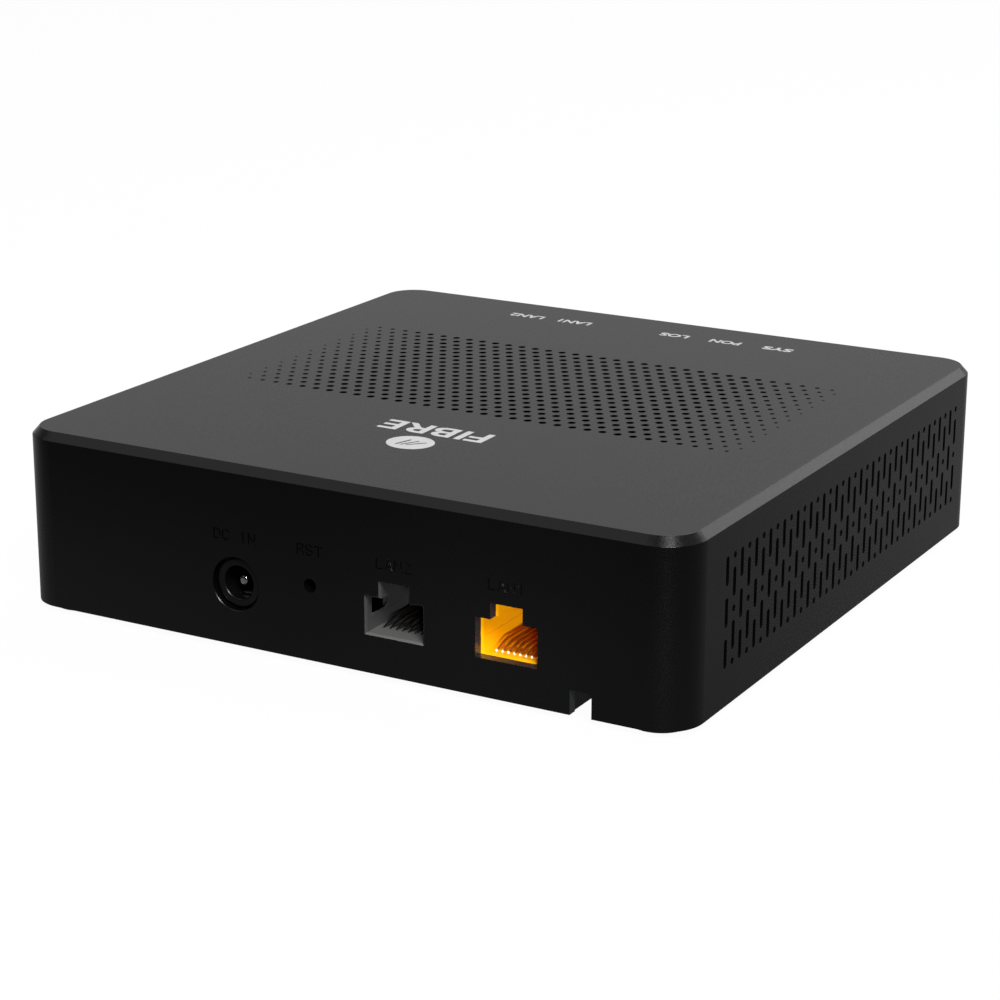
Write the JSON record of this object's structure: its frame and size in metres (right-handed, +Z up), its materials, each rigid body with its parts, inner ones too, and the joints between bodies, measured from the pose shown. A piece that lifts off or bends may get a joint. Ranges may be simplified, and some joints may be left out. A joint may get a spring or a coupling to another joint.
{
  "type": "optical network terminal",
  "caption": "Square desktop optical network terminal with a two-part vented case, fibre bay, two Ethernet sockets, power inlet and recessed reset button.",
  "frame": {"origin": "on the table, under the middle of the case, level with the undersides of the feet", "axes": "+Z up, +Y out of the port panel, -Y out of the status-light side, +X towards the power inlet's end of the port panel"},
  "size_m": [0.14, 0.14, 0.0357],
  "materials": {
    "case_plastic": "fine matt moulded texture",
    "foot_rubber": "matt",
    "screw_steel": "zinc plated",
    "label_film": "matt film",
    "clear_plastic": "clear",
    "board": "solder mask",
    "black_plastic": "satin",
    "nickel": "satin plated",
    "button_plastic": "satin",
    "yellow_plastic": "satin",
    "gold_plate": "gold plated",
    "grey_plastic": "satin",
    "chip_plastic": "matt",
    "pad_silicone": "soft",
    "sink_aluminium": "extruded",
    "white_plastic": "satin",
    "ferrite": "matt",
    "ceramic_tan": "fired",
    "blue_plastic": "satin",
    "white_ceramic": "polished"
  },
  "bodies": {
    "terminal": {"base_label": "label_film", "bottom_shell": "case_plastic", "case_screws": "screw_steel", "ceramic_capacitors": "ceramic_tan", "chip_resistors": "ferrite", "converter_chips": "chip_plastic", "converter_leads": "nickel", "crystal": "nickel", "dc_jack_contacts": "nickel", "dc_jack_housing": "black_plastic", "dc_jack_pin": "nickel", "electrolytic_capacitors": "sink_aluminium", "ferrule_sleeve": "white_ceramic", "flash_chip": "chip_plastic", "flash_leads": "nickel", "heat_sink": "sink_aluminium", "heat_sink_pins": "white_plastic", "lan1_contacts": "gold_plate", "lan1_jack_housing": "yellow_plastic", "lan1_transformer": "chip_plastic", "lan1_transformer_leads": "nickel", "lan2_contacts": "gold_plate", "lan2_jack_housing": "grey_plastic", "lan2_transformer": "chip_plastic", "lan2_transformer_leads": "nickel", "laser_can": "gold_plate", "laser_driver_chip": "chip_plastic", "light_guide": "clear_plastic", "main_pcb": "board", "memory_chip": "chip_plastic", "memory_leads": "nickel", "optic_block": "nickel", "optic_leads": "gold_plate", "pcb_screws": "screw_steel", "photodiode_can": "gold_plate", "power_inductors": "ferrite", "receptacle_screw": "screw_steel", "reset_dome": "nickel", "reset_switch_body": "black_plastic", "reset_switch_bracket": "nickel", "reset_switch_leads": "nickel", "rubber_feet": "foot_rubber", "sc_receptacle": "blue_plastic", "shield_can": "nickel", "soc_chip": "chip_plastic", "status_leds": "white_plastic", "thermal_pad": "pad_silicone", "top_cover": "case_plastic"},
    "reset_button": {"reset_plunger": "button_plastic"}
  },
  "joints": [
    {"name": "reset_press", "type": "slide", "parent": "terminal", "child": "reset_button", "axis": [0, -1, 0], "range_m": [0, 0.0003], "stiffness_N_per_m": 3000, "springref_m": -0.0002}
  ]
}
